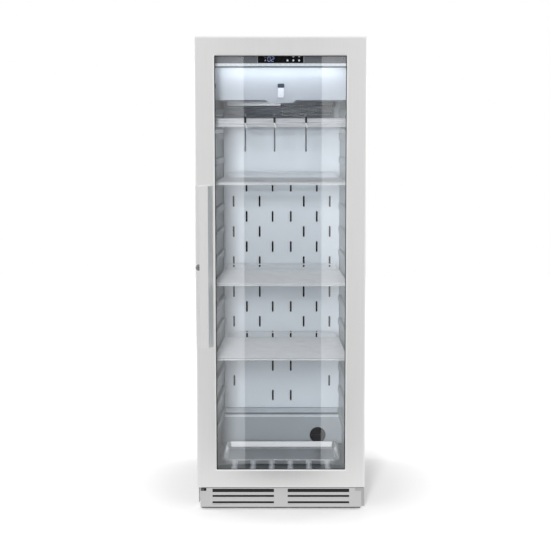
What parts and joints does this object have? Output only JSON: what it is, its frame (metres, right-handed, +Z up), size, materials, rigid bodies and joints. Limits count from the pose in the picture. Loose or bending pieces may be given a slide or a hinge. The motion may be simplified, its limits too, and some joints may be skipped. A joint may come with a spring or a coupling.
{
  "type": "dry aging cabinet",
  "caption": "Tall refrigerated dry aging cabinet with a hinged glass door, wire shelves, a hanging rack with hooks, a drip tray, a slotted air duct and a plinth grille.",
  "frame": {"origin": "on the floor, at the centre of the cabinet's footprint with the door closed and its handle included", "axes": "+X to the right seen from the front, +Y from the door towards the back, +Z up"},
  "size_m": [0.595, 0.68, 1.664],
  "materials": {
    "stainless": "fine vertical brushing, satin",
    "bright_steel": "polished wire",
    "black_steel": "fine textured black powder coat",
    "zinc_steel": "dull zinc",
    "liner_plastic": "satin moulded liner",
    "white_plastic": "satin",
    "black_plastic": "fine grain",
    "foot_plastic": "fine grain",
    "display_gloss": "gloss black window",
    "light_diffuser": "lit opal diffuser",
    "clear_glass": "clear, polished",
    "foam": "foamed in place",
    "rubber": "soft matt",
    "aluminium": "mill finish fins"
  },
  "bodies": {
    "cabinet": {"front_frame": "stainless", "base_frame": "zinc_steel", "casing_left": "black_steel", "casing_right": "black_steel", "casing_top": "black_steel", "casing_back": "zinc_steel", "bay_panel": "zinc_steel", "service_cover": "black_steel", "cord_gland": "rubber", "liner_left": "liner_plastic", "liner_right": "liner_plastic", "liner_floor": "liner_plastic", "liner_hump": "liner_plastic", "liner_back": "liner_plastic", "insulation": "foam", "duct_panel": "white_plastic", "control_fascia": "liner_plastic", "display_panel": "display_gloss", "light_bar": "light_diffuser", "evaporator_cover": "white_plastic", "air_sensor": "black_plastic", "evaporator_coil": "aluminium", "evaporator_fan_frame": "black_plastic", "condenser_coil": "aluminium", "condenser_fan_frame": "black_plastic", "compressor": "black_steel", "evaporation_pan": "black_plastic", "plinth_grille": "stainless", "hinge_top": "stainless", "hinge_bottom": "stainless", "lock_keeper": "zinc_steel"},
    "door": {"door_frame": "stainless", "door_inner_frame": "black_plastic", "outer_pane": "clear_glass", "pane_spacer": "black_plastic", "inner_pane": "clear_glass", "door_gasket": "rubber", "handle_base": "stainless", "handle_bar": "stainless"},
    "lock": {"lock_cylinder": "zinc_steel"},
    "top_shelf": {"shelf_top": "bright_steel"},
    "middle_shelf": {"shelf_middle": "bright_steel"},
    "bottom_shelf": {"shelf_bottom": "bright_steel"},
    "rack": {"hanging_rack": "stainless"},
    "left_hook": {"hook_left": "bright_steel"},
    "middle_hook": {"hook_middle": "bright_steel"},
    "right_hook": {"hook_right": "bright_steel"},
    "tray": {"drip_tray": "stainless"},
    "button_one": {"button_1": "white_plastic"},
    "button_two": {"button_2": "white_plastic"},
    "button_three": {"button_3": "white_plastic"},
    "button_four": {"button_4": "white_plastic"},
    "button_five": {"button_5": "white_plastic"},
    "evaporator_rotor": {"evaporator_fan_rotor": "black_plastic"},
    "condenser_rotor": {"condenser_fan_rotor": "black_plastic"},
    "filter": {"filter_cartridge": "black_plastic"},
    "front_left_foot": {"foot_front_left": "foot_plastic"},
    "front_right_foot": {"foot_front_right": "foot_plastic"},
    "rear_left_foot": {"foot_rear_left": "foot_plastic"},
    "rear_right_foot": {"foot_rear_right": "foot_plastic"}
  },
  "joints": [
    {"name": "door_hinge", "type": "hinge", "parent": "cabinet", "child": "door", "pos_m": [0.2875, -0.276, 0.86], "axis": [0, 0, 1], "range_deg": [0, 115]},
    {"name": "lock_turn", "type": "hinge", "parent": "door", "child": "lock", "pos_m": [-0.285, -0.306, 0.867], "axis": [0, 1, 0], "range_deg": [0, 90]},
    {"name": "top_shelf_slide", "type": "slide", "parent": "cabinet", "child": "top_shelf", "axis": [0, -1, 0], "range_m": [0, 0.171]},
    {"name": "middle_shelf_slide", "type": "slide", "parent": "cabinet", "child": "middle_shelf", "axis": [0, -1, 0], "range_m": [0, 0.171]},
    {"name": "bottom_shelf_slide", "type": "slide", "parent": "cabinet", "child": "bottom_shelf", "axis": [0, -1, 0], "range_m": [0, 0.171]},
    {"name": "rack_slide", "type": "slide", "parent": "cabinet", "child": "rack", "axis": [0, -1, 0], "range_m": [0, 0.171]},
    {"name": "tray_slide", "type": "slide", "parent": "cabinet", "child": "tray", "axis": [0, -1, 0], "range_m": [0, 0.171]},
    {"name": "left_hook_swing", "type": "hinge", "parent": "rack", "child": "left_hook", "pos_m": [-0.125, -0.215, 1.384], "axis": [1, 0, 0], "range_deg": [-10, 10]},
    {"name": "middle_hook_swing", "type": "hinge", "parent": "rack", "child": "middle_hook", "pos_m": [-0.022, -0.215, 1.384], "axis": [1, 0, 0], "range_deg": [-10, 10]},
    {"name": "right_hook_swing", "type": "hinge", "parent": "rack", "child": "right_hook", "pos_m": [0.089, -0.215, 1.384], "axis": [1, 0, 0], "range_deg": [-10, 10]},
    {"name": "button_one_press", "type": "slide", "parent": "cabinet", "child": "button_one", "axis": [0, 1, 0], "range_m": [0, 0.001], "stiffness_N_per_m": 200},
    {"name": "button_two_press", "type": "slide", "parent": "cabinet", "child": "button_two", "axis": [0, 1, 0], "range_m": [0, 0.001], "stiffness_N_per_m": 200},
    {"name": "button_three_press", "type": "slide", "parent": "cabinet", "child": "button_three", "axis": [0, 1, 0], "range_m": [0, 0.001], "stiffness_N_per_m": 200},
    {"name": "button_four_press", "type": "slide", "parent": "cabinet", "child": "button_four", "axis": [0, 1, 0], "range_m": [0, 0.001], "stiffness_N_per_m": 200},
    {"name": "button_five_press", "type": "slide", "parent": "cabinet", "child": "button_five", "axis": [0, 1, 0], "range_m": [0, 0.001], "stiffness_N_per_m": 200},
    {"name": "evaporator_fan_spin", "type": "hinge", "parent": "cabinet", "child": "evaporator_rotor", "pos_m": [0, 0.1415, 1.5115], "axis": [0, 1, 0], "continuous": true},
    {"name": "condenser_fan_spin", "type": "hinge", "parent": "cabinet", "child": "condenser_rotor", "pos_m": [0.17, 0.26125, 0.0735], "axis": [-1, 0, 0], "continuous": true},
    {"name": "filter_turn", "type": "hinge", "parent": "cabinet", "child": "filter", "pos_m": [0.141, 0.142, 0.152], "axis": [0, 1, 0], "range_deg": [0, 90]},
    {"name": "front_left_foot_screw", "type": "hinge", "parent": "cabinet", "child": "front_left_foot", "pos_m": [-0.24, -0.191, 0.02], "axis": [0, 0, 1], "continuous": true},
    {"name": "front_right_foot_screw", "type": "hinge", "parent": "cabinet", "child": "front_right_foot", "pos_m": [0.24, -0.191, 0.02], "axis": [0, 0, 1], "continuous": true},
    {"name": "rear_left_foot_screw", "type": "hinge", "parent": "cabinet", "child": "rear_left_foot", "pos_m": [-0.24, 0.278, 0.02], "axis": [0, 0, 1], "continuous": true},
    {"name": "rear_right_foot_screw", "type": "hinge", "parent": "cabinet", "child": "rear_right_foot", "pos_m": [0.24, 0.278, 0.02], "axis": [0, 0, 1], "continuous": true}
  ],
  "couplings": [
    {"joint": "top_shelf_slide", "follows": "door_hinge", "m_per_rad": 0.085},
    {"joint": "middle_shelf_slide", "follows": "door_hinge", "m_per_rad": 0.085},
    {"joint": "bottom_shelf_slide", "follows": "door_hinge", "m_per_rad": 0.085},
    {"joint": "rack_slide", "follows": "door_hinge", "m_per_rad": 0.085},
    {"joint": "tray_slide", "follows": "door_hinge", "m_per_rad": 0.085}
  ]
}
